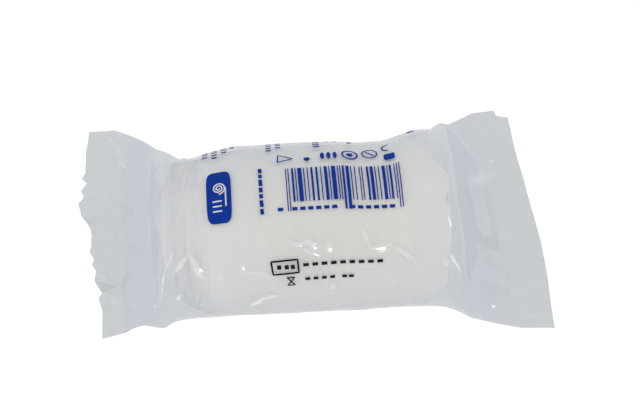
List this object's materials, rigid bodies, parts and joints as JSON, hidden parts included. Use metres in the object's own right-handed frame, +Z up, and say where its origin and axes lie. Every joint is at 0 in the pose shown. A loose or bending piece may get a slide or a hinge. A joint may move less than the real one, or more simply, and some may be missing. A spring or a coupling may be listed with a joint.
{
  "type": "elastic bandage roll in clear film wrapper",
  "caption": "White elastic crepe bandage, wound into a roll and sealed in a clear film wrapper with a flat fused flap at each end, lying on its side.",
  "frame": {"origin": "middle of the flat strip of film that the pack lies on, under the middle of the roll", "axes": "+X along the roll's axis towards the flap with the smooth slanted edge, +Y level across the roll, +Z up"},
  "size_m": [0.1273, 0.0696, 0.0471],
  "materials": {
    "crepe": "soft matt white crepe weave",
    "film": "clear, faintly milky gloss film"
  },
  "bodies": {
    "root": {"bandage_roll": "crepe", "film_sleeve": "film", "left_end_seal": "film", "right_end_seal": "film"}
  },
  "joints": []
}
